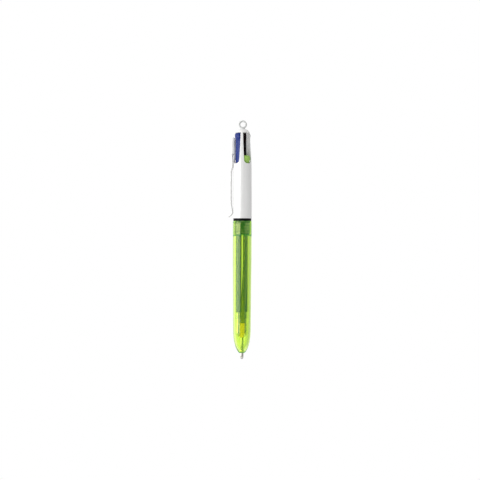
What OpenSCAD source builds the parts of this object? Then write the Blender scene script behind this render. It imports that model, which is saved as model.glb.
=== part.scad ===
// Four-colour click pen with a pocket clip, a lanyard eye and a screw-off lower barrel.
// Heights run up from the extended writing tip; the row origin is on the pen's axis in the
// middle of the straight stretch of the lower barrel, with +Z towards the lanyard eye.
// The clip is on -X and the four sliders are on the diagonals.

/* [Overall] */
// Length from the extended writing tip to the top of the lanyard eye
pen_length = 148; // [147:0.5:149]
// How far a slider travels from retracted to latched
travel = 14; // [13.5:0.1:14.2]
// Play between pieces that slide on each other
play = 0.15; // [0.1:0.01:0.2]

/* [Upper barrel] */
// Height of its lower rim
upper_rim = 87.2; // [87:0.1:87.5]
// Radius at the lower rim
rim_radius = 5.83; // [5.8:0.01:5.9]
// Height where the taper to the crown starts
shoulder_height = 118; // [116:0.5:119]
// Radius where the taper starts
shoulder_radius = 5.6; // [5.55:0.01:5.65]
// Height where the dome starts
crown_height = 139; // [138.5:0.1:139.2]
// Radius where the dome starts
crown_radius = 4.65; // [4.6:0.01:4.7]
// Height of the dome above the crown
dome_rise = 3.9; // [3.8:0.05:4]
// Radius of the bore that holds the springs
spring_bore = 4.8; // [4.75:0.01:4.85]
// Radius of the bore between the slots
slider_bore = 4.0; // [3.95:0.01:4.05]
// Width of a slider slot
slot_width = 5.3; // [5.2:0.05:5.4]
// Height of a slot's lower end
slot_bottom = 121.1; // [121:0.05:121.2]
// Height of a slot's upper end
slot_top = 140.4; // [140.2:0.05:140.5]
// Radius of a slot's lower corners
slot_corner = 2; // [1.5:0.1:2.2]
// Thickness of the partitions between the sliders' channels
partition = 0.5; // [0.4:0.05:0.5]

/* [Lanyard eye] */
// Outer radius of the ring
eye_radius = 2.65; // [2.5:0.05:2.8]
// Radius of the hole
eye_hole = 1.5; // [1.3:0.05:1.6]
// Thickness along the hole
eye_thick = 1.9; // [1.7:0.05:2.1]

/* [Pocket clip] */
// Width of the clip
clip_width = 4.6; // [4.2:0.1:4.8]
// Width of the fin between the clip's root and the barrel
fin_width = 2.4; // [2:0.1:2.6]
// Height of the line about which the tongue flexes
clip_hinge = 126.4; // [126.2:0.1:126.6]

/* [Slider and spring] */
// Distance of each refill from the pen's axis
refill_offset = 2.85; // [2.82:0.01:2.88]
// Radius of a slider's outer face
slider_face = 4.35; // [4.2:0.05:4.4]
// Radius to which a thumb pad stands out
pad_radius = 5.35; // [5.2:0.05:5.4]
// Length of a thumb pad
pad_length = 4.6; // [4.4:0.05:4.65]
// Length of a slider's body
slider_length = 24.5; // [24:0.1:25]
// Mean radius of a spring's coil
spring_radius = 1.66; // [1.65:0.005:1.68]
// Diameter of the spring wire
wire = 0.32; // [0.28:0.01:0.34]
// Number of turns in a spring
spring_turns = 9; // [7:1:9]

/* [Refills] */
// Outer radius of a refill tube
tube_radius = 1.4; // [1.35:0.01:1.4]
// Bore radius of a refill tube
tube_bore = 1.05; // [1:0.01:1.1]
// Visible length of a ballpoint tip
tip_length = 11.2; // [11:0.1:12]
// Radius of a ballpoint tip's barrel
tip_radius = 0.95; // [0.85:0.01:1]
// Visible length of the broad highlighter tip
broad_tip_length = 13.6; // [13:0.1:14]
// Radius of the broad highlighter tip
broad_tip_radius = 1.04; // [1:0.01:1.06]

/* [Collar and lower barrel] */
// Height of the threaded collar's lower end
collar_bottom = 77.3; // [77:0.1:77.6]
// Inner radius of the collar
collar_bore = 4.4; // [4.35:0.01:4.45]
// Root radius of the collar's thread
thread_root = 4.85; // [4.83:0.01:4.88]
// Crest radius of the collar's thread
thread_crest = 5.08; // [5.05:0.01:5.1]
// Pitch of the thread
thread_pitch = 1.6; // [1.5:0.05:1.65]
// Outer radius of the trim ring
ring_radius = 5.62; // [5.55:0.01:5.64]
// Height of the lower barrel's upper rim
lower_rim = 85.6; // [85.5:0.05:85.7]
// Radius of the straight stretch of the lower barrel
seat_radius = 5.8; // [5.75:0.01:5.85]
// Length of that straight stretch
seat_length = 22.4; // [20:0.1:22.6]
// Bore radius of the lower barrel
lower_bore = 4.4; // [4.35:0.01:4.45]
// Height where the nose starts
nose_height = 18; // [17.5:0.1:18.5]
// Barrel radius where the nose starts
nose_radius = 5.43; // [5.4:0.01:5.5]
// Height of the nose's open end
nose_end = 3.9; // [3.8:0.1:4]
// Radius of the hole in the nose
nose_hole = 1.2; // [1.15:0.01:1.25]

/* [Hidden] */
$fn = 72;

// directions of the four sliders about the pen's axis
BLUE = 225;
BLACK = 45;
RED = 135;
FLUO = 315;

origin_height = pen_length / 2;
eps = 0.01;

// upper barrel: bevel at the rim, and how far the partitions and the clip's fin sink into its wall
rim_bevel = 0.15;
wall_overlap = 0.3;
eye_foot = 1.5;

// the guide plate lies on the collar and carries the springs
plug_length = 7.6;
plug_radius = 5.0;
plate_bottom = upper_rim + plug_length;
plate_top = plate_bottom + 2.5;
guide_hole = tube_radius + 0.06;

// a retracted slider; a latched one is lower by the travel
slider_top = slot_top - 0.4;
slider_foot = slider_top - slider_length;
slider_half = slot_width / 2 - play;
slider_root = 1.3;
partition_inner = 2.2;
// how much further out a slider's flank lies than the middle of the partition beside it
flank_shift = (partition / 2 + play) * sqrt(2);
spigot_length = 7;
spigot_radius = tube_bore - 0.04;
cam_drop = 9;
cam_length = 3;
cam_point = 0.45;
cam_narrow = 0.2;
cam_wide = 0.7;
spring_gap = 0.02;

// refills, retracted or extended
tip_end = travel;
tube_end = tip_end + tip_length;
tube_top = slider_foot;
broad_tube_top = slider_foot - travel;
tip_plug = 4;
plug_play = 0.03;
ink_level = 97;
broad_ink_level = 86;
follower_length = 5;
ball_radius = 0.35;
broad_ball_radius = 0.8;
tip_cone = 2.2;
broad_tip_cone = 1.1;
ink_play = 0.05;

// the extended refill bends from its own place to the pen's axis below this height
bend_top = 86;

// thread of the lower barrel, clear of the collar's crests
nut_crest = thread_crest + 0.06;
nut_root = nut_crest + 0.2;
thread_turns = 5;
ring_play = 0.05;

// heights within one pitch at which a ridge leaves the root, gains and leaves its crest, and ends
ridge_foot = 0.15;
ridge_rise = 0.6;
ridge_fall = 0.75;
ridge_end = 1.2;

// clip root and tongue
root_skin = 5.55;
bead_radius = 0.6;
bead_place = 6.45;
bead_play = 0.1;

function smooth(t) = t * t * (3 - 2 * t);
function clamp01(t) = min(1, max(0, t));
function mix(a, b, t) = a + (b - a) * t;

// places a child by its height above the writing tip
module from_tip() {
    translate([0, 0, -origin_height]) children();
}

// turns and shifts a child to one refill's own place
module at_refill(direction) {
    rotate([0, 0, direction]) translate([refill_offset, 0, 0]) children();
}

// stands a side outline, drawn as x and height, on edge across the pen
module across(width) {
    rotate([90, 0, 0]) translate([0, 0, -width / 2]) linear_extrude(width) children();
}

// stands a front outline, drawn as width and height, facing one slider's direction
module facing(direction, from, depth) {
    rotate([0, 0, direction]) translate([from, 0, 0]) rotate([90, 0, 90])
        linear_extrude(depth) children();
}

// ---------------------------------------------------------------- casing

// outer radius of the upper barrel below its dome
function upper_radius(z) =
    let (rise = (z - shoulder_height) / (crown_height - shoulder_height))
    mix(shoulder_radius, crown_radius, smooth(clamp01(rise)));

// solid inside the upper barrel's outer surface
module upper_outline() {
    steps = 8;
    rotate_extrude()
        polygon(concat(
            [
                [0, upper_rim], [rim_radius - rim_bevel, upper_rim],
                [rim_radius, upper_rim + rim_bevel]
            ],
            [
                for (i = [0:steps])
                    let (z = mix(shoulder_height, crown_height, i / steps))
                    [upper_radius(z), z]
            ],
            [for (a = [10:10:90]) [crown_radius * cos(a), crown_height + dome_rise * sin(a)]]
        ));
}

// side outline of the clip's root, outside a given distance from the axis
module clip_root_outline(inner) {
    difference() {
        polygon([
            [-slider_bore, 137.3], [-5.4, 137.3], [-6.4, 136.4], [-6.9, 134.6], [-7.1, 131],
            [-7.05, clip_hinge + 0.1], [-slider_bore, clip_hinge + 0.1]
        ]);
        translate([-inner, 100]) square(50);
    }
}

// a slot or a thumb pad as it is seen from outside: square at the top, rounded below
module window(half, low, high, corner) {
    inset = half - corner;
    polygon(concat(
        [[half, high], [-half, high]],
        [for (a = [180:15:270]) [corner * cos(a) - inset, low + corner + corner * sin(a)]],
        [for (a = [270:15:360]) [corner * cos(a) + inset, low + corner + corner * sin(a)]]
    ));
}

module upper_barrel() {
    color("whitesmoke") from_tip() difference() {
        union() {
            upper_outline();
            across(fin_width) clip_root_outline(slider_bore + wall_overlap);
            across(clip_width) clip_root_outline(root_skin);
        }
        translate([-bead_place, 0, clip_hinge]) rotate([90, 0, 0])
            cylinder(r = bead_radius + bead_play, h = 2 * clip_width, center = true);
        translate([0, 0, upper_rim - 1]) cylinder(r = plug_radius, h = plate_top - upper_rim + 1);
        translate([0, 0, upper_rim])
            cylinder(r = spring_bore, h = slot_bottom + slot_corner - upper_rim);
        translate([0, 0, upper_rim]) cylinder(r = slider_bore, h = slot_top - upper_rim);
        for (direction = [BLUE, BLACK, RED, FLUO])
            facing(direction, 1, 8) window(slot_width / 2, slot_bottom, slot_top, slot_corner);
    }
    color("whitesmoke") channel_partitions();
}

// four thin walls that part the sliders' channels, from the bore in to the open middle
module channel_partitions() {
    low = slot_bottom + slot_corner;
    reach = slider_bore + wall_overlap - partition_inner;
    from_tip() for (direction = [0:90:270])
        rotate([0, 0, direction]) translate([partition_inner, -partition / 2, low])
            cube([reach, partition, slot_top + wall_overlap - low]);
}

// flat ring on a round foot, fused to the dome
module lanyard_eye() {
    centre = pen_length - eye_radius;
    color("gainsboro") from_tip() difference() {
        union() {
            translate([0, 0, centre]) rotate([90, 0, 0])
                cylinder(r = eye_radius, h = eye_thick, center = true);
            translate([0, 0, centre - eye_radius - 1]) cylinder(r = eye_foot, h = 1.6);
        }
        translate([0, 0, centre]) rotate([90, 0, 0])
            cylinder(r = eye_hole, h = 2 * eye_thick, center = true);
        upper_outline();
    }
}

// the springy tongue: root bead, neck, straight blade, nub and flared end
module pocket_clip() {
    outer = [
        [-7.05, clip_hinge], [-6.85, 124.5], [-6.5, 122.6], [-6.6, 120.2], [-7.1, 118.4],
        [-7.65, 117.1], [-7.78, 115.2], [-7.78, 99], [-7.5, 95.8], [-7.1, 93.1], [-6.6, 91.6],
        [-6.5, 91], [-6.85, 90.1], [-7.7, 89.3], [-8.6, 88.6], [-9.2, 88]
    ];
    inner = [
        [-8.75, 87.4], [-7.9, 88], [-7, 88.9], [-6.2, 89.8], [-5.93, 90.7], [-5.93, 91.5],
        [-6.2, 92.6], [-6.55, 95], [-6.7, 98], [-6.7, 115.2], [-6.5, 116.4], [-6.1, 118],
        [-5.83, 119.6], [-5.83, 123.4], [-5.9, clip_hinge]
    ];
    color("white") from_tip() {
        across(clip_width) polygon(concat(outer, inner));
        translate([-bead_place, 0, clip_hinge]) rotate([90, 0, 0])
            cylinder(r = bead_radius, h = clip_width, center = true);
    }
}

// outline points of ridges that stand for the turns of a thread, from the lowest up
function ridges(root, crest, from, turns) = [
    for (
        i = [0:turns - 1],
        p = [[root, ridge_foot], [crest, ridge_rise], [crest, ridge_fall], [root, ridge_end]]
    )
        [p[0], from + i * thread_pitch + p[1]]
];

module threaded_collar() {
    color([0.05, 0.05, 0.06]) from_tip() rotate_extrude()
        polygon(concat(
            [[collar_bore, collar_bottom], [thread_root, collar_bottom]],
            ridges(thread_root, thread_crest, collar_bottom, thread_turns),
            [
                [thread_root, upper_rim], [plug_radius, upper_rim],
                [plug_radius, plate_bottom], [collar_bore, plate_bottom]
            ]
        ));
}

module refill_guide() {
    color([0.9, 0.9, 0.88]) from_tip() difference() {
        translate([0, 0, plate_bottom]) cylinder(r = plug_radius, h = plate_top - plate_bottom);
        for (direction = [BLUE, BLACK, RED, FLUO])
            at_refill(direction) translate([0, 0, plate_bottom - 1])
                cylinder(r = guide_hole, h = plate_top - plate_bottom + 2);
    }
}

module trim_ring() {
    inside = thread_root + ring_play;
    color([0.03, 0.03, 0.03]) from_tip() rotate_extrude()
        translate([inside, lower_rim]) square([ring_radius - inside, upper_rim - lower_rim]);
}

module lower_barrel() {
    seat_low = origin_height - seat_length / 2;
    seat_high = origin_height + seat_length / 2;
    steps = 8;
    // outside of the nose: part of an ellipse
    nose_rise = 14.9;
    outer_turn = asin((nose_height - nose_end) / nose_rise);
    // inside of the nose: a slimmer one that leads the tips to the hole
    throat = 4.1;
    hole_start = 6;
    inner_turn = acos(nose_hole / throat);
    inner_rise = (nose_height - hole_start) / sin(inner_turn);
    nut = ridges(nut_root, nut_crest, collar_bottom + thread_pitch / 2, thread_turns - 1);
    // the wall swells a little between the nose and the straight stretch
    swell = [[nose_radius + 0.12, 36.6], [seat_radius - 0.14, 49]];
    rim_flare = 0.2;
    // a cone leads from the thread into the bore, which ends where the throat starts
    cone_top = collar_bottom - 0.3;
    cone_foot = collar_bottom - 0.8;
    bore_end = 26;
    color([0.75, 0.92, 0.25, 0.55]) from_tip() rotate_extrude()
        polygon(concat(
            [
                for (i = [0:steps])
                    let (a = outer_turn * (1 - i / steps))
                    [nose_radius * cos(a), nose_height - nose_rise * sin(a)]
            ],
            swell,
            [
                [seat_radius, seat_low], [seat_radius, seat_high],
                [seat_radius - rim_flare, lower_rim], [nut_root, lower_rim]
            ],
            [for (i = [len(nut) - 1:-1:0]) nut[i]],
            [[nut_root, cone_top], [lower_bore, cone_foot], [lower_bore, bore_end]],
            [
                for (i = [0:steps])
                    let (a = inner_turn * i / steps)
                    [throat * cos(a), nose_height - inner_rise * sin(a)]
            ],
            [[nose_hole, nose_end]]
        ));
}

// ---------------------------------------------------------------- sliders and springs

// cross-section of a slider: a wedge that keeps clear of its neighbours, rounded outside
module slider_section() {
    intersection() {
        polygon([
            [slider_root, flank_shift - slider_root], [slider_half + flank_shift, -slider_half],
            [slider_face + 1, -slider_half], [slider_face + 1, slider_half],
            [slider_half + flank_shift, slider_half], [slider_root, slider_root - flank_shift]
        ]);
        circle(slider_face);
    }
}

// pad that the thumb pushes, with the slot's own rounded lower corners
module thumb_pad(direction) {
    low = slider_top - pad_length;
    intersection() {
        facing(direction, slider_half + flank_shift, pad_radius)
            window(slider_half, low, slider_top, slot_corner - play);
        translate([0, 0, low]) cylinder(r = pad_radius, h = pad_length);
    }
}

module slider(direction, drop) {
    from_tip() translate([0, 0, -drop]) {
        rotate([0, 0, direction]) {
            translate([0, 0, slider_foot]) linear_extrude(slider_length) slider_section();
            // cam that meets the other sliders' cams at the axis
            translate([0, 0, slider_top - cam_drop]) linear_extrude(cam_length)
                polygon([
                    [cam_point, -cam_narrow], [slider_root, -cam_wide],
                    [slider_root, cam_wide], [cam_point, cam_narrow]
                ]);
        }
        thumb_pad(direction);
        at_refill(direction) translate([0, 0, slider_foot - spigot_length])
            cylinder(r = spigot_radius, h = spigot_length + 1);
    }
}

module blue_slider() {
    color([0.16, 0.26, 0.6]) slider(BLUE, 0);
}

module black_slider() {
    color([0.06, 0.06, 0.07]) slider(BLACK, 0);
}

module red_slider() {
    color([0.78, 0.1, 0.12]) slider(RED, 0);
}

module fluo_slider() {
    color([0.66, 0.86, 0.36]) slider(FLUO, travel);
}

// side faces of a tube of rings, with "sides" points in each ring, and its two flat ends
function ring_faces(sides, rings) = concat(
    [for (i = [0:rings - 2], k = [0:sides - 1]) let (n = (k + 1) % sides)
        [i * sides + k, i * sides + n, (i + 1) * sides + n, (i + 1) * sides + k]],
    [[for (k = [sides - 1:-1:0]) k], [for (k = [0:sides - 1]) (rings - 1) * sides + k]]
);

// coil between two heights; the end turns of an open spring lie closer together
module coil_spring(direction, low, high, open) {
    sides = 6;
    per_turn = 14;
    rings = spring_turns * per_turn + 1;
    start = low + wire / 2 + spring_gap;
    rise = high - low - wire - 2 * spring_gap;
    points = [
        for (i = [0:rings - 1], k = [0:sides - 1])
            let (
                t = i / (rings - 1),
                turn = 360 * spring_turns * t,
                reach = spring_radius + wire / 2 * cos(360 * k / sides),
                climb = mix(t, smooth(t), open)
            )
            [reach * cos(turn), reach * sin(turn), start + rise * climb - wire / 2 * sin(360 * k / sides)]
    ];
    color("silver") from_tip() at_refill(direction)
        polyhedron(points, ring_faces(sides, rings), convexity = 10);
}

module blue_spring() {
    coil_spring(BLUE, plate_top, slider_foot, 0.7);
}

module black_spring() {
    coil_spring(BLACK, plate_top, slider_foot, 0.7);
}

module red_spring() {
    coil_spring(RED, plate_top, slider_foot, 0.7);
}

module fluo_spring() {
    coil_spring(FLUO, plate_top, slider_foot - travel, 0);
}

// ---------------------------------------------------------------- refills

module straight_tube(direction) {
    color([0.93, 0.93, 0.9, 0.6]) from_tip() at_refill(direction) difference() {
        translate([0, 0, tube_end]) cylinder(r = tube_radius, h = tube_top - tube_end);
        translate([0, 0, tube_end - 1]) cylinder(r = tube_bore, h = tube_top - tube_end + 2);
    }
}

module straight_ink(direction) {
    low = tube_end + tip_plug + ink_play;
    from_tip() at_refill(direction) translate([0, 0, low])
        cylinder(r = tube_bore - plug_play, h = ink_level - low);
}

// metal point with its plug in the tube, its cone and the socket that holds the ball
module point(end, length, radius, ball, cone) {
    lip = ball * 0.9;
    difference() {
        rotate_extrude()
            polygon([
                [0, end + ball], [lip + 0.1, end + ball], [radius, end + ball + cone],
                [radius, end + length], [tube_bore - plug_play, end + length],
                [tube_bore - plug_play, end + length + tip_plug], [0, end + length + tip_plug]
            ]);
        translate([0, 0, end + ball]) sphere(ball + 0.01);
    }
}

module small_point(direction) {
    color([0.78, 0.72, 0.55]) from_tip() at_refill(direction)
        point(tip_end, tip_length, tip_radius, ball_radius, tip_cone);
}

module small_ball(direction) {
    color("dimgray") from_tip() at_refill(direction)
        translate([0, 0, tip_end + ball_radius]) sphere(ball_radius);
}

module blue_refill_tube() {
    straight_tube(BLUE);
}

module black_refill_tube() {
    straight_tube(BLACK);
}

module red_refill_tube() {
    straight_tube(RED);
}

module blue_ink() {
    color([0.05, 0.12, 0.55]) straight_ink(BLUE);
}

module black_ink() {
    color([0.02, 0.02, 0.03]) straight_ink(BLACK);
}

module red_ink() {
    color([0.75, 0.05, 0.08]) straight_ink(RED);
}

module blue_tip() {
    small_point(BLUE);
}

module black_tip() {
    small_point(BLACK);
}

module red_tip() {
    small_point(RED);
}

module blue_ball() {
    small_ball(BLUE);
}

module black_ball() {
    small_ball(BLACK);
}

module red_ball() {
    small_ball(RED);
}

// distance of the extended refill's centre line from the pen's axis
function bent_offset(z) =
    refill_offset * (1 - smooth(clamp01((bend_top - z) / (bend_top - broad_tip_length))));

// heights of the rings along a bent rod: one at each end and even steps below the bend
function bent_heights(low, high) = let (last = min(high, bend_top), steps = 20) concat(
    [for (i = [0:steps]) mix(low, last, i / steps)],
    high > last + eps ? [high] : []
);

// solid rod that follows the extended refill's bend
module bent_rod(radius, low, high, sides) {
    heights = bent_heights(low, high);
    points = [
        for (z = heights, k = [0:sides - 1])
            [bent_offset(z) + radius * cos(360 * k / sides), -radius * sin(360 * k / sides), z]
    ];
    polyhedron(points, ring_faces(sides, len(heights)), convexity = 4);
}

module fluo_refill_tube() {
    color([0.93, 0.95, 0.8, 0.6]) from_tip() rotate([0, 0, FLUO]) difference() {
        bent_rod(tube_radius, broad_tip_length, broad_tube_top, 24);
        bent_rod(tube_bore, broad_tip_length - eps, broad_tube_top + eps, 24);
    }
}

module fluo_ink() {
    color([0.85, 0.85, 0.1]) from_tip() rotate([0, 0, FLUO])
        bent_rod(tube_bore - ink_play, broad_tip_length + tip_plug + ink_play, broad_ink_level, 16);
}

module fluo_follower() {
    color([0.95, 0.95, 0.85]) from_tip() at_refill(FLUO) translate([0, 0, broad_ink_level + 0.02])
        cylinder(r = tube_bore - ink_play, h = follower_length);
}

module fluo_tip() {
    color([0.75, 0.75, 0.73]) from_tip()
        point(0, broad_tip_length, broad_tip_radius, broad_ball_radius, broad_tip_cone);
}

module fluo_ball() {
    color("dimgray") from_tip() translate([0, 0, broad_ball_radius]) sphere(broad_ball_radius);
}

upper_barrel();
lanyard_eye();
pocket_clip();
threaded_collar();
refill_guide();
trim_ring();
lower_barrel();
blue_slider();
blue_spring();
blue_refill_tube();
blue_ink();
blue_tip();
blue_ball();
black_slider();
black_spring();
black_refill_tube();
black_ink();
black_tip();
black_ball();
red_slider();
red_spring();
red_refill_tube();
red_ink();
red_tip();
red_ball();
fluo_slider();
fluo_spring();
fluo_refill_tube();
fluo_ink();
fluo_follower();
fluo_tip();
fluo_ball();
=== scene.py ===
"""Four-colour click pen with a translucent screw-off lower barrel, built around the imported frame."""
import math

import bmesh
import bpy
from mathutils import Matrix, Vector


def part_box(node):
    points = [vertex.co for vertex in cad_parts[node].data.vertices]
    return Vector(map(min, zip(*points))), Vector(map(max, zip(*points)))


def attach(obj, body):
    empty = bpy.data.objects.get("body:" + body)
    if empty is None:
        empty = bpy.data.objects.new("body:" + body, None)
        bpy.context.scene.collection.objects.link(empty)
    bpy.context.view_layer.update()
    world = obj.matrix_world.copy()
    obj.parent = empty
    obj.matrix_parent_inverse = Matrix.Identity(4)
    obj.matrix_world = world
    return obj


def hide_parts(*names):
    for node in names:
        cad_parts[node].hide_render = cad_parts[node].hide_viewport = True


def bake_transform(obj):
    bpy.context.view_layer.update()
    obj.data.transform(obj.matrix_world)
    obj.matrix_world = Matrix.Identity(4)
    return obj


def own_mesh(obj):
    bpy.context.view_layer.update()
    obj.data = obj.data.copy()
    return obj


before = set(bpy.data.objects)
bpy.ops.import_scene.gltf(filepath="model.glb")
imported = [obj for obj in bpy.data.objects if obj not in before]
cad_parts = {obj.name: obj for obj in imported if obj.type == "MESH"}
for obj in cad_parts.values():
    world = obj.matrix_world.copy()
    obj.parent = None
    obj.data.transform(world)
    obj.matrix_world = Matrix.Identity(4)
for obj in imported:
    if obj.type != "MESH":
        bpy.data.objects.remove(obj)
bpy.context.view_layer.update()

# ---------------------------------------------------------------- sizes, in mm above the writing tip

MM = 0.001
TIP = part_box("fluo_ball")[0][2]
DIRECTIONS = {"blue": 225, "black": 45, "red": 135, "fluo": 315}

# upper barrel: rim, end of the straight part, and where the dome starts
RIM = 87.2
RIM_RADIUS = 5.83
SHOULDER = 118.0
SHOULDER_RADIUS = 5.6
CROWN = 139.0
CROWN_RADIUS = 4.65
DOME_RISE = 3.9
COUNTERBORE = 5.0
SPRING_BORE = 4.8
SLIDER_BORE = 4.0
PLATE_TOP = 97.3

# slots in it, and the walls between the sliders' channels
SLOT_HALF = 2.65
SLOT_LOW = 121.1
SLOT_TOP = 140.15
SLOT_CORNER = 2.0
PARTITION = 0.5
PARTITION_INNER = 2.2

# sliders
TRAVEL = 14.0
SLIDER_TOP = 140.0
SLIDER_FOOT = 115.5
SLIDER_HALF = 2.5
SLIDER_FACE = 4.35
PAD_RADIUS = 5.35

# collar and lower barrel
COLLAR_LOW = 77.3
COLLAR_TOP = 94.8
COLLAR_BORE = 4.4
PITCH = 1.6
LOWER_RIM = 85.6
SEAT_RADIUS = 5.8
NOSE = 18.0
NOSE_RADIUS = 5.43
NOSE_END = 3.9

# refills; the extended one bends to the pen's axis between BEND_TOP and its tube's end
REFILL_OFFSET = 2.85
TUBE_RADIUS = 1.4
TUBE_BORE = 1.05
INK_RADIUS = 1.065
SMALL_TIP = 14.0
SMALL_TUBE_END = 25.2
BROAD_TUBE_END = 13.6
HOLDER_TOP = 22.3
BEND_TOP = 62.0
BROAD_BALL = 0.8
SMALL_BALL = 0.35

# lanyard eye and clip
EYE_RADIUS = 2.65
EYE_HOLE = 1.5
EYE_THICK = 1.9
EYE_HEIGHT = 148.0 - EYE_RADIUS
CLIP_WIDTH = 4.6
CLIP_FOOT = 2.75


def up(height):
    """Height in the frame, in metres, of a height in mm above the writing tip."""
    return TIP + height * MM


def smooth(t):
    """Eased 0 to 1, held outside that span."""
    t = min(1.0, max(0.0, t))
    return t * t * (3 - 2 * t)


def mix(a, b, t):
    """The value a share t of the way from a to b."""
    return a + (b - a) * t


def place(x, y, height):
    """A point from mm across the pen and mm above the writing tip."""
    return Vector((x * MM, y * MM, up(height)))


def polar(radius, degrees, height):
    """A point from a radius, a direction and mm above the writing tip."""
    turn = math.radians(degrees)
    return place(radius * math.cos(turn), radius * math.sin(turn), height)


def steps(count):
    """count + 1 even values from 0 to 1."""
    return [i / count for i in range(count + 1)]


def circle(centre, radius, columns):
    """Points of a level circle of a radius in mm about a point."""
    turns = [2 * math.pi * k / columns for k in range(columns)]
    return [centre + Vector((math.cos(t), math.sin(t), 0)) * radius * MM for t in turns]


def squarish(turn, sharpness):
    """Cosine and sine of a rounded rectangle; the smaller the sharpness, the squarer."""
    cosine, sine = math.cos(turn), math.sin(turn)
    return (math.copysign(abs(cosine) ** sharpness, cosine),
            math.copysign(abs(sine) ** sharpness, sine))


def spline(points, count):
    """Points of a smooth curve through the given ones, count of them for each span."""
    ends = [points[0]] + list(points) + [points[-1]]
    curve = []
    for a, b, c, d in zip(ends, ends[1:], ends[2:], ends[3:]):
        for t in steps(count)[:-1]:
            curve.append(tuple(
                0.5 * (2 * q + (r - p) * t + (2 * p - 5 * q + 4 * r - s) * t * t
                       + (3 * q - p - 3 * r + s) * t ** 3)
                for p, q, r, s in zip(a, b, c, d)
            ))
    return curve + [tuple(points[-1])]


# ---------------------------------------------------------------- mesh tools

def make_piece(name, vertices, faces, sharp=35):
    """An object from points and faces, with normals outward and edges sharp above an angle."""
    mesh = bpy.data.meshes.new(name)
    mesh.from_pydata([tuple(v) for v in vertices], [], faces)
    shape = bmesh.new()
    shape.from_mesh(mesh)
    loose = [v for v in shape.verts if not v.link_faces]
    bmesh.ops.delete(shape, geom=loose, context="VERTS")
    bmesh.ops.recalc_face_normals(shape, faces=shape.faces)
    shape.to_mesh(mesh)
    shape.free()
    piece = bpy.data.objects.new(name, mesh)
    bpy.context.collection.objects.link(piece)
    shade(piece, sharp)
    return piece


def shade(piece, sharp):
    """Smooth shading, with edges above an angle in degrees kept sharp."""
    piece.data.shade_smooth()
    piece.data.set_sharp_from_angle(angle=math.radians(sharp))


def loft(rings, wrap=False):
    """Vertices and faces of rings joined one to the next; a ring of one point is a pole."""
    vertices, faces, starts = [], [], []
    for ring in rings:
        starts.append(len(vertices))
        vertices += ring
    pairs = list(zip(range(len(rings)), range(1, len(rings))))
    if wrap:
        pairs.append((len(rings) - 1, 0))
    for low, high in pairs:
        a, b = starts[low], starts[high]
        m, n = len(rings[low]), len(rings[high])
        for i in range(max(m, n)):
            k = (i + 1) % max(m, n)
            corners = [a + i % m, a + k % m, b + k % n, b + i % n]
            faces.append(list(dict.fromkeys(corners)))
    if not wrap:
        for ring, start in ((rings[0], starts[0]), (rings[-1], starts[-1])):
            if len(ring) > 2:
                faces.append(list(range(start, start + len(ring))))
    return vertices, faces


def join_shells(shells):
    """One set of vertices and faces from several."""
    vertices, faces = [], []
    for points, polygons in shells:
        start = len(vertices)
        vertices += points
        faces += [[start + i for i in polygon] for polygon in polygons]
    return vertices, faces


def lathe(profile, columns=96, wrap=True, relief=None, centre=(0.0, 0.0)):
    """Turns (radius, height) points about an upright line; relief gives the radius at an angle."""
    rings = []
    for radius, height in profile:
        if radius < 1e-6:
            rings.append([place(centre[0], centre[1], height)])
            continue
        ring = []
        for i in range(columns):
            turn = 2 * math.pi * i / columns
            r = relief(turn, radius, height) if relief else radius
            x = centre[0] + r * math.cos(turn)
            y = centre[1] + r * math.sin(turn)
            ring.append(place(x, y, height))
        rings.append(ring)
    return loft(rings, wrap)


def tube_along(centres, radius, sides=16):
    """A round rod along points that climb, its rings square to the path."""
    rings = []
    for i, centre in enumerate(centres):
        ahead = centres[min(i + 1, len(centres) - 1)]
        behind = centres[max(i - 1, 0)]
        along = (ahead - behind).normalized()
        side = along.orthogonal().normalized()
        if abs(along.z) < 0.99:
            side = Vector((0, 0, 1)).cross(along).normalized()
        other = along.cross(side)
        reach = radius(i / (len(centres) - 1)) if callable(radius) else radius
        rings.append([
            centre + reach * MM * (side * math.cos(t) + other * math.sin(t))
            for t in (2 * math.pi * k / sides for k in range(sides))
        ])
    return rings


def bevel(piece, width, segments=2, angle=40):
    """Rounds the sharp edges of a piece."""
    rounding = piece.modifiers.new("rounding", "BEVEL")
    rounding.width = width * MM
    rounding.segments = segments
    rounding.limit_method = "ANGLE"
    rounding.angle_limit = math.radians(angle)
    apply_modifiers(piece)


def apply_modifiers(piece):
    """Replaces a piece's mesh by what its modifiers make of it."""
    bpy.context.view_layer.update()
    shaped = piece.evaluated_get(bpy.context.evaluated_depsgraph_get())
    mesh = bpy.data.meshes.new_from_object(shaped)
    piece.modifiers.clear()
    piece.data = mesh


def finish_piece(piece, material, slot, *nodes, body=None):
    """Gives a piece its material and the body it rides on, and hides the CAD nodes it stands in for;
    the slot argument is not used.
    """
    piece.data.materials.clear()
    piece.data.materials.append(material)
    if body:
        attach(piece, body)
    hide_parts(*nodes)
    return piece


# ---------------------------------------------------------------- materials

def add_node(tree, kind, inputs=None, **settings):
    """A node in a tree; an input takes a value or another node's output."""
    node = tree.nodes.new(kind)
    for key, value in settings.items():
        setattr(node, key, value)
    for key, value in (inputs or {}).items():
        if isinstance(value, bpy.types.NodeSocket):
            tree.links.new(value, node.inputs[key])
        else:
            node.inputs[key].default_value = value
    return node


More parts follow.
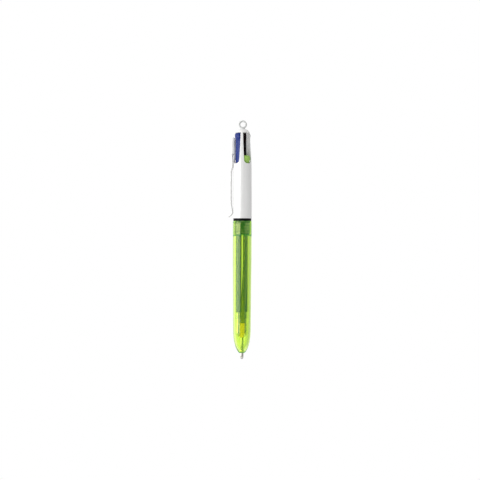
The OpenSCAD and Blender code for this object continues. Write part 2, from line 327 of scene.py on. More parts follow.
class Shader:
    """A material's nodes, with short ways to add and join them."""

    def __init__(self, name):
        self.material = bpy.data.materials.new(name)
        self.material.use_nodes = True
        self.tree = self.material.node_tree
        self.surface = self.tree.nodes["Principled BSDF"]
        self.place = self.add("ShaderNodeTexCoord").outputs["Object"]

    def add(self, kind, inputs=None, **settings):
        return add_node(self.tree, kind, inputs, **settings)

    def set(self, **inputs):
        """Sets or links inputs of the surface; an underscore stands for a space."""
        for key, value in inputs.items():
            socket = self.surface.inputs[key.replace("_", " ")]
            if isinstance(value, bpy.types.NodeSocket):
                self.tree.links.new(value, socket)
            else:
                socket.default_value = value

    def stretched(self, x, y, z):
        """Object coordinates scaled along each axis, in features per metre."""
        return self.add("ShaderNodeMapping", {"Vector": self.place, "Scale": (x, y, z)}).outputs[0]

    def noise(self, scale, detail=3.0, vector=None):
        """Soft noise between 0 and 1, in features per metre."""
        return self.add("ShaderNodeTexNoise", {
            "Vector": vector or self.place, "Scale": scale, "Detail": detail, "Roughness": 0.55,
        }).outputs["Fac"]

    def between(self, value, low, high, start=0.35, end=0.65):
        """Maps the middle of a noise to a span of values."""
        return self.add("ShaderNodeMapRange", {
            "Value": value, "From Min": start, "From Max": end, "To Min": low, "To Max": high,
        }).outputs["Result"]

    def blend(self, value, colour_a, colour_b, start=0.35, end=0.65):
        """Mixes two colours by a noise."""
        factor = self.between(value, 0.0, 1.0, start, end)
        inputs = {0: factor, 6: colour_a, 7: colour_b}
        return self.add("ShaderNodeMix", inputs, data_type="RGBA").outputs[2]

    def bump(self, value, distance, strength=0.5):
        """Relief of a depth in mm."""
        node = self.add("ShaderNodeBump", {
            "Height": value, "Distance": distance * MM, "Strength": strength,
        })
        self.set(Normal=node.outputs[0])


def colour(red, green, blue):
    """An opaque colour."""
    return (red, green, blue, 1.0)


def tinted(base, factor):
    """A base colour made darker or lighter."""
    return colour(*(min(1.0, channel * factor) for channel in base))


def moulded(name, base, roughness=0.16, shift=0.93, grain=0.012, gloss=0.2, index=1.5):
    """Moulded plastic: faint flow marks in the colour, uneven gloss and a fine skin."""
    shader = Shader(name)
    flow = shader.noise(1.0, 4.0, shader.stretched(260, 260, 60))
    fine = shader.noise(5200.0, 2.0)
    shader.set(
        Base_Color=shader.blend(flow, colour(*base), tinted(base, shift)),
        Roughness=shader.between(flow, roughness * 0.85, roughness * 1.25),
        Specular_IOR_Level=gloss,
        IOR=index,
    )
    shader.bump(fine, grain)
    return shader.material


def clear_plastic(name, base, transmission, roughness, painted_glow=0.0, painted_glow_colour=None, index=1.45):
    """Translucent plastic: tinted, with a faint haze that varies along the moulding; its emission is a
    painted glow, standing in for light scattered in the plastic.
    """
    shader = Shader(name)
    flow = shader.noise(1.0, 3.0, shader.stretched(300, 300, 70))
    fine = shader.noise(3800.0, 2.0)
    shader.set(
        Base_Color=shader.blend(flow, colour(*base), tinted(base, 0.965)),
        Roughness=shader.between(flow, roughness * 0.7, roughness * 1.4),
        Transmission_Weight=transmission,
        IOR=index,
        Emission_Strength=painted_glow,
        Emission_Color=colour(*(painted_glow_colour or base)),
    )
    shader.bump(fine, 0.004, 0.25)
    return shader.material


def liquid(name, base, deep, transmission=0.0, painted_glow=0.0):
    """Ink in a refill, slightly thicker in places; its emission is a painted glow that brightens it
    where little light reaches it.
    """
    shader = Shader(name)
    streaks = shader.noise(1.0, 3.0, shader.stretched(900, 900, 90))
    shader.set(
        Base_Color=shader.blend(streaks, colour(*base), colour(*deep)),
        Roughness=shader.between(streaks, 0.12, 0.25),
        Transmission_Weight=transmission,
        IOR=1.25,
        Emission_Color=colour(*base),
        Emission_Strength=painted_glow,
    )
    return shader.material


def turned_metal(name, base, roughness, rings_per_mm):
    """Turned or drawn metal: fine rings around the axis and a little tarnish."""
    shader = Shader(name)
    rings = shader.noise(1.0, 2.0, shader.stretched(150, 150, rings_per_mm / MM))
    tarnish = shader.noise(900.0, 3.0)
    shader.set(
        Base_Color=shader.blend(tarnish, colour(*base), tinted(base, 0.86)),
        Roughness=shader.between(rings, roughness * 0.7, roughness * 1.35),
        Metallic=1.0,
    )
    shader.bump(rings, 0.004, 0.4)
    return shader.material


WHITE = moulded("white_barrel", (0.90, 0.90, 0.89), 0.14, 0.98, gloss=0.5, index=1.8)
EYE_GREY = moulded("lanyard_grey", (0.66, 0.67, 0.66), 0.12, 0.95, gloss=0.5)
COLLAR_BLACK = moulded("black_collar", (0.012, 0.012, 0.014), 0.1, 1.5, gloss=0.5)
TRIM_BLACK = moulded("trim_black", (0.0015, 0.0015, 0.002), 0.3, 1.6, gloss=0.3, index=1.25)
GUIDE_WHITE = moulded("guide_white", (0.82, 0.82, 0.79), 0.4, 0.94)
SLIDER_PLASTIC = {
    "blue": moulded("blue_plastic", (0.02, 0.04, 0.22), 0.2, 0.85),
    "black": moulded("black_plastic", (0.012, 0.012, 0.013), 0.25, 1.5),
    "red": moulded("red_plastic", (0.55, 0.02, 0.03), 0.2, 0.85),
    "fluo": moulded("fluo_plastic", (0.40, 0.68, 0.14), 0.25, 0.9),
}
# The golden holder's emission is a painted glow that brightens it where the barrel lets little light
# in.
HOLDER_GOLD = liquid("holder_gold", (0.98, 0.76, 0.01), (0.95, 0.70, 0.01), 0.0, 0.35)
INK = {
    "blue": liquid("blue_ink", (0.0, 0.11, 0.42), (0.0, 0.08, 0.34)),
    "black": liquid("black_ink", (0.012, 0.012, 0.016), (0.006, 0.006, 0.008)),
    "red": liquid("red_ink", (0.5, 0.015, 0.02), (0.4, 0.01, 0.015)),
    "fluo": liquid("fluo_ink", (0.46, 0.42, 0.03), (0.41, 0.37, 0.02), 0.8),
}
# The lower barrel's faint green emission is a painted glow, standing in for light scattered in its
# fluorescent plastic.
BARREL_CLEAR = clear_plastic(
    "fluo_barrel", (0.87, 0.96, 0.30), 0.99, 0.03, 0.045, (0.06, 1.0, 0.1), 1.42
)
TUBE_CLEAR = clear_plastic("tube_clear", (0.95, 0.96, 0.95), 0.97, 0.08, index=1.42)
GREASE = clear_plastic("follower_grease", (0.92, 0.92, 0.8), 0.5, 0.3)
SPRING_STEEL = turned_metal("spring_steel", (0.62, 0.62, 0.64), 0.25, 3.0)
TIP_METAL = turned_metal("tip_metal", (0.66, 0.64, 0.58), 0.16, 9.0)
BALL_CARBIDE = turned_metal("ball_carbide", (0.42, 0.42, 0.43), 0.12, 4.0)

# ---------------------------------------------------------------- upper barrel

def upper_radius(height):
    """Outer radius of the upper barrel, with its lip, taper, shoulder and dome."""
    if height > CROWN:
        rise = min(1.0, (height - CROWN) / DOME_RISE)
        return CROWN_RADIUS * math.sqrt(max(0.0, 1 - rise * rise))
    if height > SHOULDER:
        return mix(SHOULDER_RADIUS, CROWN_RADIUS, smooth((height - SHOULDER) / (CROWN - SHOULDER)))
    return mix(RIM_RADIUS, SHOULDER_RADIUS, (height - RIM) / (SHOULDER - RIM))


def slot_half(height):
    """Half the width of a slot at a height; below the slots, only how the columns spread."""
    if height < SLOT_LOW:
        return mix(SLOT_HALF - SLOT_CORNER, 2.2, smooth((SLOT_LOW - height) / 4))
    rise = min(1.0, (height - SLOT_LOW) / SLOT_CORNER)
    return SLOT_HALF - SLOT_CORNER + SLOT_CORNER * math.sqrt(1 - (1 - rise) ** 2)


# columns of faces in half a pillar between slots, in a slot, and in a quarter of the barrel
PILLAR_COLUMNS = 6
SLOT_COLUMNS = 10
QUARTER_COLUMNS = 2 * PILLAR_COLUMNS + SLOT_COLUMNS


def slotted_ring(radius, height):
    """A ring whose columns follow the edges of the four slots."""
    half = slot_half(height)
    # near the top of the dome the columns would cross, so a slot takes at most 42 of its 45 degrees
    squeeze = min(1.0, math.sin(math.radians(42)) * radius / half)
    turns = []
    for t in steps(SLOT_COLUMNS):
        share = mix(-half, half, t) / radius
        turns.append(math.degrees(math.asin(share * squeeze)))
    edge = turns[-1]
    turns = [mix(-45, -edge, t) for t in steps(PILLAR_COLUMNS)[:-1]] + turns
    turns += [mix(edge, 45, t) for t in steps(PILLAR_COLUMNS)[1:-1]]
    return [polar(radius, middle + turn, height) for middle in (45, 135, 225, 315) for turn in turns]


def slotted_shell():
    """The upper barrel's wall as one grid: outside, dome, inside, and the slots' own walls."""
    groove = RIM + 1.5
    lower = [
        (RIM_RADIUS - 0.12, RIM), (RIM_RADIUS, RIM + 0.12), (upper_radius(groove), groove - 0.12),
        (upper_radius(groove) - 0.05, groove), (upper_radius(groove), groove + 0.12),
    ]
    heights = [mix(90, SHOULDER, t) for t in steps(12)] + [119.5]
    arc = [SLOT_LOW + SLOT_CORNER * (1 - math.cos(math.radians(a))) for a in range(0, 91, 15)]
    ledge = SLOT_LOW + SLOT_CORNER + 0.4
    slots = arc + [ledge + 0.1] + [mix(125, CROWN, t) for t in steps(10)] + [SLOT_TOP]
    dome = [CROWN + DOME_RISE * math.sin(math.radians(a)) for a in (24, 33, 43, 54, 66, 78)]
    outer = [slotted_ring(r, h) for r, h in lower]
    outer += [slotted_ring(upper_radius(h), h) for h in heights]
    first = len(outer)
    outer += [slotted_ring(upper_radius(h), h) for h in slots]
    last = len(outer) - 1
    outer += [slotted_ring(upper_radius(h), h) for h in dome if h > SLOT_TOP + 0.1]
    outer.append([place(0, 0, CROWN + DOME_RISE)])
    inner = [slotted_ring(SPRING_BORE if h < ledge else SLIDER_BORE, h) for h in slots]
    bore = [
        (SPRING_BORE, 110.0), (SPRING_BORE, PLATE_TOP), (COUNTERBORE, PLATE_TOP), (COUNTERBORE, RIM),
    ]
    roof = [slotted_ring(SLIDER_BORE * 0.55, SLOT_TOP), [place(0, 0, SLOT_TOP)]]
    rows = outer + inner + [slotted_ring(r, h) for r, h in bore] + roof
    starts = []
    count = 0
    for row in rows:
        starts.append(count)
        count += len(row)
    columns = 4 * QUARTER_COLUMNS
    inner_first = len(outer)
    inner_last = inner_first + len(inner) - 1
    bore_last = inner_last + len(bore)
    slot_edges = (PILLAR_COLUMNS, PILLAR_COLUMNS + SLOT_COLUMNS)
    in_slot = [slot_edges[0] <= c % QUARTER_COLUMNS < slot_edges[1] for c in range(columns)]
    edges = [c for c in range(columns) if c % QUARTER_COLUMNS in slot_edges]
    faces = []

    def quad(row_a, row_b, c, d):
        """A face between two rows and two columns; at a pole it has three corners."""
        a, b = starts[row_a], starts[row_b]
        m, n = len(rows[row_a]), len(rows[row_b])
        corners = [a + c % m, a + d % m, b + d % n, b + c % n]
        faces.append(list(dict.fromkeys(corners)))

    for c in range(columns):
        d = (c + 1) % columns
        for row in range(len(outer) - 1):
            if not (in_slot[c] and first <= row < last):
                quad(row, row + 1, c, d)
        for row in range(inner_first, inner_last):
            if not in_slot[c]:
                quad(row, row + 1, c, d)
        quad(inner_first, inner_last + 1, c, d)
        for row in range(inner_last + 1, bore_last):
            quad(row, row + 1, c, d)
        quad(bore_last, 0, c, d)
        quad(inner_last, bore_last + 1, c, d)
        quad(bore_last + 1, bore_last + 2, c, d)
        if in_slot[c]:
            quad(first, inner_first, c, d)
            quad(last, inner_last, c, d)
    for c in edges:
        for k in range(len(slots) - 1):
            faces.append([
                starts[first + k] + c, starts[first + k + 1] + c,
                starts[inner_first + k + 1] + c, starts[inner_first + k] + c,
            ])
    return [v for row in rows for v in row], faces


RIB_COUNT = 9
RIB_STEP = 1.65
RIB_LOWEST = 95.6
RIB_SLANT = 0.55
RIB_LEFT, RIB_RIGHT = -1.55, 0.95
RIB_RADIUS = 0.13
RIB_FACING = -83.7


def rib_taper(t):
    """Radius of a rib along its length, thin at both ends."""
    return RIB_RADIUS * math.sqrt(max(0.04, 1 - (2 * t - 1) ** 4))


def grip_ribs():
    """A short column of slanted raised ribs on the front of the upper barrel."""
    shells = []
    for i in range(RIB_COUNT):
        middle = RIB_LOWEST + i * RIB_STEP
        centres = []
        for t in steps(8):
            height = middle + mix(-RIB_SLANT, RIB_SLANT, t)
            radius = upper_radius(height) - 0.03
            turn = math.degrees(math.asin(mix(RIB_LEFT, RIB_RIGHT, t) / radius)) + RIB_FACING
            centres.append(polar(radius, turn, height))
        shells.append(loft(tube_along(centres, rib_taper, 10)))
    return shells


def upper_barrel():
    """The white barrel with its dome and slots, and the ribs on it."""
    piece = make_piece("upper_barrel_shell", *slotted_shell())
    bevel(piece, 0.28, 3, 50)
    shade(piece, 40)
    finish_piece(piece, WHITE, "white_barrel", "upper_barrel", body="upper")
    ribs = make_piece("upper_barrel_ribs", *join_shells(grip_ribs()))
    finish_piece(ribs, WHITE, "white_barrel", "upper_barrel", body="upper")


def channel_partitions():
    """Four thin walls between the sliders' channels, with round inner edges."""
    shells = []
    half = PARTITION / 2
    foot = SLOT_LOW + SLOT_CORNER
    in_wall = SLIDER_BORE + 0.2
    for turn in (0, 90, 180, 270):
        spin = Matrix.Rotation(math.radians(turn), 3, "Z")
        outline = [(in_wall, -half), (in_wall, half)]
        for degrees in range(0, 181, 30):
            a = math.radians(degrees)
            outline.append((PARTITION_INNER + half * (1 - math.sin(a)), half * math.cos(a)))
        rings = []
        for height in (foot, foot + 0.15, 132, SLOT_TOP + 0.1):
            trim = 0.12 if height == foot else 0.0
            rings.append([spin @ place(x + (trim if x < 3 else 0), y * (1 - trim), height)
                          for x, y in outline])
        shells.append(loft(rings))
    piece = make_piece("channel_partitions", *join_shells(shells))
    finish_piece(piece, WHITE, "white_barrel", "upper_barrel", body="upper")


# ---------------------------------------------------------------- lanyard eye and clip

def lanyard_eye():
    """A flat ring fused to a flared foot on the dome."""
    middle = (EYE_RADIUS + EYE_HOLE) / 2
    ring_half = (EYE_RADIUS - EYE_HOLE) / 2
    across = Vector((0, 1, 0))
    side = Vector((1, 0, 0))
    centre = place(0, 0, EYE_HEIGHT)
    rings = []
    for k in range(64):
        turn = 2 * math.pi * k / 64
        out = side * math.cos(turn) + Vector((0, 0, 1)) * math.sin(turn)
        ring = []
        for t in (2 * math.pi * i / 24 for i in range(24)):
            wide = math.cos(t) * ring_half
            deep = squarish(t, 0.85)[1] * EYE_THICK / 2
            ring.append(centre + out * (middle + wide) * MM + across * deep * MM)
        rings.append(ring)
    foot = [(0, 142.2), (1.75, 142.25), (1.5, 142.75), (1.2, 143.1), (1.05, 143.5), (0, 143.62)]
    shells = [loft(rings, wrap=True), lathe(foot, 40, False)]
    piece = make_piece("lanyard_ring", *join_shells(shells))
    remesh = piece.modifiers.new("fuse", "REMESH")
    remesh.mode = "VOXEL"
    remesh.voxel_size = 0.09 * MM
    relax = piece.modifiers.new("relax", "SMOOTH")
    relax.factor = 0.5
    relax.iterations = 5
    apply_modifiers(piece)
    shade(piece, 180)
    finish_piece(piece, EYE_GREY, "lanyard_grey", "lanyard_eye", body="upper")


# the clip from its top down: x and height of its middle, thickness, and 1 where it is the foot
CLIP_LINE = [
    (-5.2, 137.2, 0.9, 1), (-5.65, 136.6, 1.7, 1), (-5.85, 135.2, 2.0, 1), (-5.95, 132, 2.15, 1),
    (-5.95, 128.6, 2.1, 1), (-6.15, 127.2, 1.7, 0.8), (-6.42, 126.2, 1.2, 0), (-6.33, 124.4, 1.0, 0),
    (-6.17, 122.6, 0.7, 0), (-6.22, 120.2, 0.72, 0), (-6.6, 118.3, 0.85, 0), (-7.05, 116.8, 1.0, 0),
    (-7.24, 115, 1.06, 0), (-7.24, 107, 1.06, 0), (-7.24, 99, 1.06, 0), (-7.06, 95.8, 0.92, 0),
    (-6.68, 93.2, 0.8, 0), (-6.27, 91.5, 0.66, 0), (-6.3, 90.5, 0.68, 0), (-6.85, 89.5, 0.7, 0),
    (-7.9, 88.6, 0.68, 0), (-8.75, 87.95, 0.6, 0),
]


def pocket_clip():
    """The clip from its root on the barrel to its flared end, one bending strip."""
    line = spline(CLIP_LINE, 5)
    rings = []
    for i, (x, height, thick, foot) in enumerate(line):
        ahead = line[min(i + 1, len(line) - 1)]
        behind = line[max(i - 1, 0)]
        along = Vector((ahead[0] - behind[0], 0, ahead[1] - behind[1])).normalized()
        inward = along.cross(Vector((0, 1, 0)))
        if inward.x < 0:
            inward.negate()
        left = (len(line) - 1 - i) / 6
        round_end = math.sqrt(min(1.0, 0.55 + 0.45 * min(1.0, left)))
        round_top = min(1.0, 0.9 + 0.02 * i)
        width = mix(CLIP_WIDTH, CLIP_FOOT, foot) / 2 * round_end * round_top
        ring = []
        for t in (2 * math.pi * k / 36 for k in range(36)):
            deep, wide = squarish(t, 0.45)
            narrow = mix(1.0, 0.97, foot * smooth(deep))
            crown = 0.1 * (1 - (wide * narrow) ** 2) if deep < 0 else 0.0
            reach = deep * thick / 2 - crown
            ring.append(place(x, 0, height) + inward * reach * MM
                        + Vector((0, wide * width * narrow * MM, 0)))
        rings.append(ring)
    piece = make_piece("clip_strip", *loft(rings), sharp=60)
    finish_piece(piece, WHITE, "white_barrel", "pocket_clip")
    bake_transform(piece)


# ---------------------------------------------------------------- collar, ring and lower barrel

def thread_wave(turn, height, shift):
    """0 between the turns of the right-hand thread and 1 on its crest."""
    phase = ((height - COLLAR_LOW) / PITCH - turn / (2 * math.pi) + shift) % 1.0
    return smooth((0.26 - abs(phase - 0.5)) / 0.15)


def threaded_collar():
    """Black collar with a helical thread, pressed into the upper barrel."""
    low = COLLAR_LOW + 0.5
    high = RIM - 0.9
    root = 4.72
    crest = 5.08

    def relief(turn, radius, height):
        if abs(radius - root) > 0.01 or not low <= height <= high:
            return radius
        fade = smooth((height - low) / 0.8) * smooth((high - height) / 0.8)
        return radius + (crest - root) * thread_wave(turn, height, 0.0) * fade

    profile = [(COLLAR_BORE, COLLAR_LOW + 0.1), (COLLAR_BORE + 0.1, COLLAR_LOW),
               (root - 0.12, COLLAR_LOW), (root, COLLAR_LOW + 0.15)]
    profile += [(root, mix(low, high, t)) for t in steps(78)]
    profile += [(root, RIM), (COUNTERBORE - 0.01, RIM), (COUNTERBORE - 0.01, COLLAR_TOP),
                (COLLAR_BORE, COLLAR_TOP)]
    piece = make_piece("collar", *lathe(profile, 96, True, relief), sharp=50)
    finish_piece(piece, COLLAR_BLACK, "black_collar", "threaded_collar", body="upper")


def trim_ring():
    """Black ring with a crowned face and eased corners."""
    inside = 4.9
    outside = 5.62
    ease = 0.12
    crown = 0.035
    low = LOWER_RIM
    high = RIM
    profile = [(inside, low + ease), (inside + ease, low), (outside - ease, low)]
    for t in steps(6):
        bulge = crown * (1 - (2 * t - 1) ** 2)
        profile.append((outside - crown + bulge, mix(low + ease, high - ease, t)))
    profile += [(outside - ease, high), (inside + ease, high), (inside, high - ease)]
    piece = make_piece("trim_band", *lathe(profile), sharp=50)
    finish_piece(piece, TRIM_BLACK, "trim_black", "trim_ring", body="trim_ring")


def lower_barrel():
    """Translucent barrel: a round nose, a long slightly swelling wall and the inside thread."""
    nose_rise = 14.9
    throat = 4.1
    hole = 1.2
    hole_start = 6.0
    outer_turn = math.asin((NOSE - NOSE_END) / nose_rise)
    inner_turn = math.acos(hole / throat)
    inner_rise = (NOSE - hole_start) / math.sin(inner_turn)
    root = 5.4
    crest = 5.12
    thread_low = COLLAR_LOW - 0.2
    thread_high = LOWER_RIM - 0.5

    def relief(turn, radius, height):
        if abs(radius - root) > 0.01 or not thread_low <= height <= thread_high:
            return radius
        fade = smooth((height - thread_low) / 0.8) * smooth((thread_high - height) / 0.8)
        return radius - (root - crest) * thread_wave(turn, height, 0.5) * fade

    profile = [(hole, NOSE_END + 0.1), (hole + 0.1, NOSE_END)]
    profile.append((NOSE_RADIUS * math.cos(outer_turn) - 0.08, NOSE_END))
    for t in steps(22):
        a = mix(outer_turn * 0.995, 0, t)
        profile.append((NOSE_RADIUS * math.cos(a), NOSE - nose_rise * math.sin(a)))
    wall = [(NOSE_RADIUS, NOSE), (5.55, 36.6), (5.66, 49), (SEAT_RADIUS, 62.8), (SEAT_RADIUS, 75)]
    profile += spline(wall, 5)[1:]
    profile += [(SEAT_RADIUS, 84.9), (SEAT_RADIUS - 0.05, 85.3), (SEAT_RADIUS - 0.22, LOWER_RIM)]
    profile += [(root + 0.1, LOWER_RIM), (root, LOWER_RIM - 0.1)]
    profile += [(root, mix(thread_high, thread_low, t)) for t in steps(74)]
    profile += [(4.75, thread_low - 0.25), (4.4, thread_low - 0.7)]
    profile += [(mix(4.4, 4.38, t), mix(thread_low - 1.5, 26, t)) for t in steps(8)]
    for t in steps(16):
        a = mix(0, inner_turn, t)
        profile.append((throat * math.cos(a) + 0.02, NOSE - inner_rise * math.sin(a)))
    piece = make_piece("lower_barrel_shell", *lathe(profile, 112, True, relief), sharp=50)
    finish_piece(piece, BARREL_CLEAR, "fluo_barrel", "lower_barrel", body="lower")


# ---------------------------------------------------------------- sliders and springs

def turned_to(colour_name, point):
    """A point given along and across one slider's direction, in row coordinates."""
    spin = Matrix.Rotation(math.radians(DIRECTIONS[colour_name]), 3, "Z")
    return spin @ place(*point)


def slider_drop(name):
    """How far down a slider stands at rest; the highlighter's is latched down."""
    return TRAVEL if name == "fluo" else 0.0


def slider_body(name):
    """Long wedge that runs in the channel, rounded outside and pointed inside."""
    half = SLIDER_HALF
    shift = 0.566
    inner = 1.3
    outline = [(inner, inner - shift), (inner, shift - inner), (half + shift, -half)]
    for t in steps(8):
        side = mix(-half, half, t)
        outline.append((math.sqrt(SLIDER_FACE ** 2 - side ** 2), side))
    outline.append((half + shift, half))
    drop = slider_drop(name)
    rings = []
    for height in (SLIDER_FOOT, 122, 129, 134, SLIDER_TOP):
        rings.append([turned_to(name, (x, y, height - drop)) for x, y in outline])
    return loft(rings)


def slider_pad(name):
    """Thumb pad: a sloped top, a proud face and a concave run down into the body."""
    drop = slider_drop(name)
    pad_foot = 134.2
    side_line = spline([
        (4.15, pad_foot), (4.3, 135.0), (4.62, 135.9), (5.05, 136.8), (5.3, 137.8), (PAD_RADIUS, 138.6),
        (5.2, 139.3), (4.75, 139.75), (4.2, SLIDER_TOP),
    ], 3)
    rings = []
    for reach, height in side_line:
        rise = min(1.0, max(0.0, (height - pad_foot) / 1.85))
        half = 0.65 + 1.85 * math.sqrt(max(0.0, 1 - (1 - rise) ** 2))
        ring = []
        for t in (2 * math.pi * k / 32 for k in range(32)):
            deep, wide = squarish(t, 0.5)
            side = wide * half
            face = reach - 0.16 * side * side
            x = mix(3.2, face, (deep + 1) / 2)
            ring.append(turned_to(name, (x, side, height - drop)))
        rings.append(ring)
    return loft(rings)


def slider_cam(name):
    """Small wedge on a slider's inner edge, which works the latch."""
    drop = slider_drop(name)
    outline = [(0.5, -0.16), (1.45, -0.62), (1.45, 0.62), (0.5, 0.16)]
    rings = []
    for height in (131.0, 132.5, 134.0):
        rings.append([turned_to(name, (x, y, height - drop)) for x, y in outline])
    return loft(rings)


def refill_centre(name, height):
    """Centre line of a refill; the extended one bends to the pen's axis."""
    reach = REFILL_OFFSET
    if name == "fluo":
        reach *= 1 - smooth((BEND_TOP - height) / (BEND_TOP - BROAD_TUBE_END))
    return polar(reach, DIRECTIONS[name], height)


def spigot(name):
    """Peg under a slider that holds its refill's tube."""
    foot = SLIDER_FOOT - slider_drop(name)
    rings = []
    for radius, height in ((0.75, foot - 7.0), (1.0, foot - 6.7), (1.0, foot - 3), (1.0, foot + 0.5)):
        rings.append(circle(polar(REFILL_OFFSET, DIRECTIONS[name], height), radius, 24))
    return loft(rings)


def sliders():
    """Four sliders, each a body with its cam and a pad with its spigot."""
    for name, plastic in SLIDER_PLASTIC.items():
        slider = name + "_slider"
        body_shells = [slider_body(name), slider_cam(name)]
        body = make_piece(slider + "_body", *join_shells(body_shells))
        bevel(body, 0.16, 3, 30)
        shade(body, 40)
        finish_piece(body, plastic, name + "_plastic", slider, body=slider)
        pad_shells = [slider_pad(name), spigot(name)]
        pad = make_piece(slider + "_pad", *join_shells(pad_shells), sharp=50)
        finish_piece(pad, plastic, name + "_plastic", slider, body=slider)


def coil(name, low, high):
    """Round wire wound in nine turns between two heights, flat at both ends."""
    turns = 9
    wire = 0.16
    reach = 1.66
    flat_end = 0.6 / turns
    centres = []
    for t in steps(turns * 28):
        lift = (t - flat_end) / (1 - 2 * flat_end)
        rise = mix(low + wire, high - wire, min(1.0, max(0.0, lift)))
        middle = polar(REFILL_OFFSET, DIRECTIONS[name], rise)
        centres.append(middle + polar(reach, 360 * turns * t, 0) - place(0, 0, 0))
    return loft(tube_along(centres, wire, 10))


def springs():
    """Four springs on the guide plate, which shorten as their sliders come down."""
    for name in DIRECTIONS:
        high = SLIDER_FOOT - slider_drop(name)
        piece = make_piece(name + "_spring_coil", *coil(name, PLATE_TOP, high), sharp=60)
        finish_piece(piece, SPRING_STEEL, "spring_steel", name + "_spring")
        if name == "fluo":
            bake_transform(piece)
        else:
            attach(piece, "upper")
            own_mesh(piece)


# ---------------------------------------------------------------- refills

def bends(piece):
    """Bakes a refill piece's placement into its mesh."""
    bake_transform(piece)


def pipe(name, low, high):
    """A refill's round tube along its centre line, with eased ends."""
    heights = [low, low + 0.08]
    heights += [mix(low + 1, high - 1, t) for t in steps(40)]
    heights += [high - 0.08, high]
    outside = []
    inside = []
    for height in heights:
        ease = 0.06 if height in (low, high) else 0.0
        centre = refill_centre(name, height)
        outside.append(circle(centre, TUBE_RADIUS - ease, 28))
        inside.append(circle(centre, TUBE_BORE + ease, 28))
    return loft(outside + inside[::-1], wrap=True)


def column_of_ink(name, low, high):
    """Ink in a tube, a hair over its bore so that it fills it, with a hollow meniscus on top."""
    hollow = 0.45
    rings = []
    for t in steps(36):
        height = mix(low, high, t)
        rings.append(circle(refill_centre(name, height), INK_RADIUS, 24))
    top = refill_centre(name, high)
    for share in (0.8, 0.5):
        dip = Vector((0, 0, -hollow * (1 - share ** 2) * MM))
        rings.append(circle(top + dip, INK_RADIUS * share, 24))
    rings.append([top + Vector((0, 0, -hollow * MM))])
    return loft(rings)


def refills():
    """Four tubes with their ink."""
    for name in DIRECTIONS:
        if name == "fluo":
            low = BROAD_TUBE_END
            ink_low = HOLDER_TOP + 0.05
            ink_top = 86.0
        else:
            low = SMALL_TUBE_END
            ink_low = SMALL_TUBE_END + 4.05
            ink_top = 97.0
        high = SLIDER_FOOT - slider_drop(name)
        tube = make_piece(name + "_tube", *pipe(name, low, high), sharp=50)
        finish_piece(tube, TUBE_CLEAR, "tube_clear", name + "_refill_tube")
        bends(tube)
        ink = make_piece(name + "_ink_column", *column_of_ink(name, ink_low, ink_top), sharp=50)
        finish_piece(ink, INK[name], name + "_ink", name + "_ink")
        bends(ink)


def tip_holder():
    """Golden plug that holds the broad point and closes its tube."""
    low = BROAD_TUBE_END + 0.01
    plug = make_piece("fluo_tip_holder", *column_of_ink("fluo", low, HOLDER_TOP), sharp=50)
    finish_piece(plug, HOLDER_GOLD, "tip_metal", "fluo_tip")
    bends(plug)


def point_place(name):
    """Lower end, ball radius and place across the pen of a point."""
    if name == "fluo":
        return 0.0, BROAD_BALL, (0.0, 0.0)
    turn = math.radians(DIRECTIONS[name])
    return SMALL_TIP, SMALL_BALL, (REFILL_OFFSET * math.cos(turn), REFILL_OFFSET * math.sin(turn))


def point(name):
    """Turned metal point: plug, barrel with a groove, cone and rolled lip."""
    end, ball, centre = point_place(name)
    if name == "fluo":
        top = BROAD_TUBE_END
        radius = 1.04
        cone = 1.1
    else:
        top = SMALL_TUBE_END
        radius = 0.95
        cone = 2.2
    lip = ball * 0.97
    profile = [(0, end + ball * 1.05), (ball * 0.9, end + ball * 1.1), (ball * 0.93, end + ball * 0.72),
               (lip + 0.04, end + ball * 0.75), (lip + 0.08, end + ball)]
    for t in steps(6)[1:]:
        bulge = math.sin(t * math.pi / 2)
        profile.append((mix(lip + 0.08, radius, bulge), end + ball + cone * t))
    groove = top - 2.4
    profile += [(radius, groove - 0.35), (radius - 0.09, groove - 0.2), (radius - 0.09, groove + 0.2),
                (radius, groove + 0.35), (radius, top - 0.1), (radius - 0.06, top)]
    if name != "fluo":
        profile += [(TUBE_BORE - 0.06, top), (TUBE_BORE - 0.04, top + 3.7), (0.85, top + 4.0)]
    profile.append((0, profile[-1][1]))
    return lathe(profile, 40, False, None, centre)


def writing_ball(name):
    """The ball in a point."""
    end, radius, centre = point_place(name)
    profile = []
    for t in steps(20):
        turn = math.pi * t
        profile.append((radius * math.sin(turn), end + radius - radius * math.cos(turn)))
    return lathe(profile, 40, False, None, centre)


def points():
    """Four metal points with their balls."""
    for name in DIRECTIONS:
        metal = make_piece(name + "_point_metal", *point(name), sharp=30)
        finish_piece(metal, TIP_METAL, "tip_metal", name + "_tip", body=name + "_point")
        sphere = make_piece(name + "_writing_ball", *writing_ball(name), sharp=60)
        finish_piece(sphere, BALL_CARBIDE, "ball_carbide", name + "_ball", body=name + "_point")


def carried_over():
    """Materials for the CAD nodes that are shown as they are."""
    for node, material in (("refill_guide", GUIDE_WHITE), ("fluo_follower", GREASE)):
        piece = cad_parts[node]
        piece.data.materials.clear()
        piece.data.materials.append(material)


# ---------------------------------------------------------------- floor, light and camera

CAMERA_AZIMUTH = math.radians(6.3)
CAMERA_DISTANCE = 0.7027
CAMERA_HEIGHT = 73.8
CAMERA_SHIFT = 1.4
CAMERA_ROLL = math.radians(0.225)
FLOOR_DEPTH = -230.0
TOWARD_CAMERA = Vector((math.sin(CAMERA_AZIMUTH), -math.cos(CAMERA_AZIMUTH), 0))
TO_THE_RIGHT = Vector((math.cos(CAMERA_AZIMUTH), math.sin(CAMERA_AZIMUTH), 0))


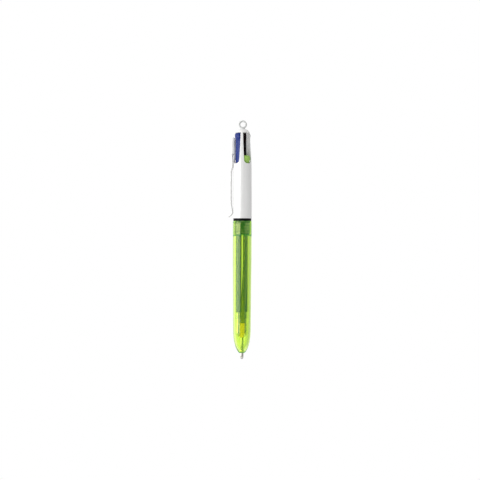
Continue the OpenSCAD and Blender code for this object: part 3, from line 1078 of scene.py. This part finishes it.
def studio_floor():
    """A pale round table well below the pen, which hangs by its lanyard eye."""
    shader = Shader("pale_floor")
    grain = shader.noise(60.0, 4.0)
    shader.set(
        Base_Color=shader.blend(grain, colour(0.93, 0.93, 0.93), colour(0.9, 0.9, 0.9)),
        Roughness=0.7,
    )
    rings = []
    for radius, drop in ((0, 0), (200, 0), (590, 0), (600, 4), (600, 12), (0, 12)):
        if radius:
            rings.append([polar(radius, 360 * k / 64, FLOOR_DEPTH - drop) for k in range(64)])
        else:
            rings.append([place(0, 0, FLOOR_DEPTH - drop)])
    floor = make_piece("floor", *loft(rings))
    floor.data.materials.append(shader.material)


def studio_world():
    """White to the camera; for everything else a pale room with a dark place behind the camera."""
    world = bpy.data.worlds.new("studio")
    bpy.context.scene.world = world
    world.use_nodes = True
    world.node_tree.nodes.clear()

    def add(kind, inputs=None, **settings):
        return add_node(world.node_tree, kind, inputs, **settings)

    def times(a, b):
        return add("ShaderNodeMath", {0: a, 1: b}, operation="MULTIPLY").outputs[0]

    def facing(direction, start, end, low, high):
        """Goes from low to high as a ray's share along a direction goes from start to end."""
        look = add("ShaderNodeTexCoord").outputs["Generated"]
        dot = add("ShaderNodeVectorMath", {0: look, 1: direction}, operation="DOT_PRODUCT")
        return add("ShaderNodeMapRange", {
            "Value": dot.outputs["Value"], "From Min": start, "From Max": end,
            "To Min": low, "To Max": high,
        }, interpolation_type="SMOOTHSTEP").outputs["Result"]

    sideways = facing(TO_THE_RIGHT, -0.9, 0.9, 1.2, 0.68)
    camera_side = facing(TOWARD_CAMERA, 0.74, 0.92, 1.0, 0.06)
    back_left = (-TOWARD_CAMERA - TO_THE_RIGHT * 0.9).normalized()
    far_corner = facing(back_left, 0.6, 0.95, 1.0, 0.88)
    back_right = (-TOWARD_CAMERA + TO_THE_RIGHT * 0.9).normalized()
    near_wall = facing(back_right, 0.6, 0.95, 1.0, 0.75)
    room = times(times(sideways, camera_side), times(far_corner, near_wall))
    soft = add("ShaderNodeBackground", {"Color": colour(1.0, 1.0, 1.0), "Strength": room})
    white = add("ShaderNodeBackground", {"Color": colour(1.0, 1.0, 1.0), "Strength": 1.0})
    seen = add("ShaderNodeLightPath").outputs["Is Camera Ray"]
    both = add("ShaderNodeMixShader", {0: seen, 1: soft.outputs[0], 2: white.outputs[0]})
    add("ShaderNodeOutputWorld", {"Surface": both.outputs[0]})


def softbox(name, degrees, distance, width, height, radiance):
    """An upright panel at an angle left of the camera, facing the pen."""
    data = bpy.data.lights.new(name, "AREA")
    data.shape = "RECTANGLE"
    data.size = width
    data.size_y = height
    data.energy = radiance * math.pi * width * height
    turn = math.radians(degrees)
    toward = TOWARD_CAMERA * math.cos(turn) - TO_THE_RIGHT * math.sin(turn)
    panel = bpy.data.objects.new(name, data)
    panel.location = toward * distance
    panel.rotation_euler = (-toward).to_track_quat("-Z", "Y").to_euler()
    panel.visible_camera = False
    bpy.context.collection.objects.link(panel)
    return panel


def studio_camera():
    """A long lens at the height of the pen's middle, slightly rolled as in the photograph."""
    data = bpy.data.cameras.new("camera")
    data.sensor_width = 36
    data.lens = 85
    camera = bpy.data.objects.new("camera", data)
    aim = place(0, 0, CAMERA_HEIGHT) - TO_THE_RIGHT * CAMERA_SHIFT * MM
    camera.location = aim + TOWARD_CAMERA * CAMERA_DISTANCE
    level = (-TOWARD_CAMERA).to_track_quat("-Z", "Y").to_matrix().to_4x4()
    roll = Matrix.Rotation(CAMERA_ROLL, 4, "Z")
    camera.rotation_euler = (level @ roll).to_euler()
    bpy.context.collection.objects.link(camera)
    bpy.context.scene.camera = camera


upper_barrel()
channel_partitions()
lanyard_eye()
pocket_clip()
threaded_collar()
trim_ring()
lower_barrel()
sliders()
springs()
refills()
tip_holder()
points()
carried_over()
studio_floor()
studio_world()
softbox("key_softbox", degrees=54, distance=0.6, width=0.69, height=0.32, radiance=2.6)
studio_camera()
bpy.context.scene.view_settings.view_transform = "Standard"
